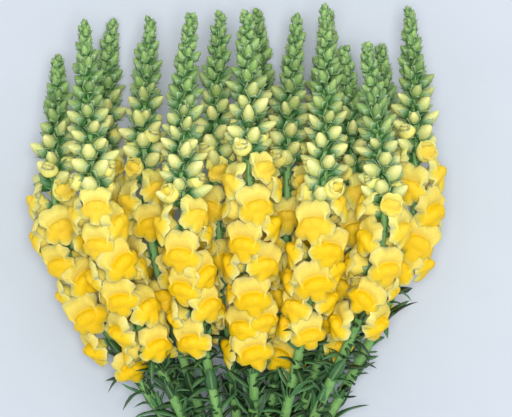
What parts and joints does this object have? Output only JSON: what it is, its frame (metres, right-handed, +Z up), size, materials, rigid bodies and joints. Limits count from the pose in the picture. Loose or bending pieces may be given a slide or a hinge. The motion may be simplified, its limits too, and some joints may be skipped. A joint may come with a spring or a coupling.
{
  "type": "bunch of cut snapdragons",
  "caption": "Fan-shaped bunch of cut yellow snapdragon stems, tied at the neck and lying flat, with open two-lipped blooms below green bud spikes.",
  "frame": {"origin": "middle of the underside of the bunch's box, on the surface it lies on", "axes": "+Y along the stems towards the tips of the spikes, +Z up from the surface, +X across the fan to the right when seen from above with the tips away from the viewer"},
  "size_m": [0.3292, 0.619, 0.1499],
  "materials": {
    "stem_green": "matt, slightly waxy living green",
    "petal_yellow": "soft velvety petal, pale lemon to golden yellow",
    "twine": "dry twisted jute"
  },
  "bodies": {
    "root": {"stem_01": "stem_green", "stem_02": "stem_green", "stem_03": "stem_green", "stem_04": "stem_green", "stem_05": "stem_green", "stem_06": "stem_green", "stem_07": "stem_green", "stem_08": "stem_green", "stem_09": "stem_green", "stem_10": "stem_green", "stem_11": "stem_green", "stem_12": "stem_green", "stem_13": "stem_green", "stem_14": "stem_green", "stem_15": "stem_green", "blooms_01": "petal_yellow", "blooms_02": "petal_yellow", "blooms_03": "petal_yellow", "blooms_04": "petal_yellow", "blooms_05": "petal_yellow", "blooms_06": "petal_yellow", "blooms_07": "petal_yellow", "blooms_08": "petal_yellow", "blooms_09": "petal_yellow", "blooms_10": "petal_yellow", "blooms_11": "petal_yellow", "blooms_12": "petal_yellow", "blooms_13": "petal_yellow", "blooms_14": "petal_yellow", "blooms_15": "petal_yellow", "tie": "twine"}
  },
  "joints": []
}
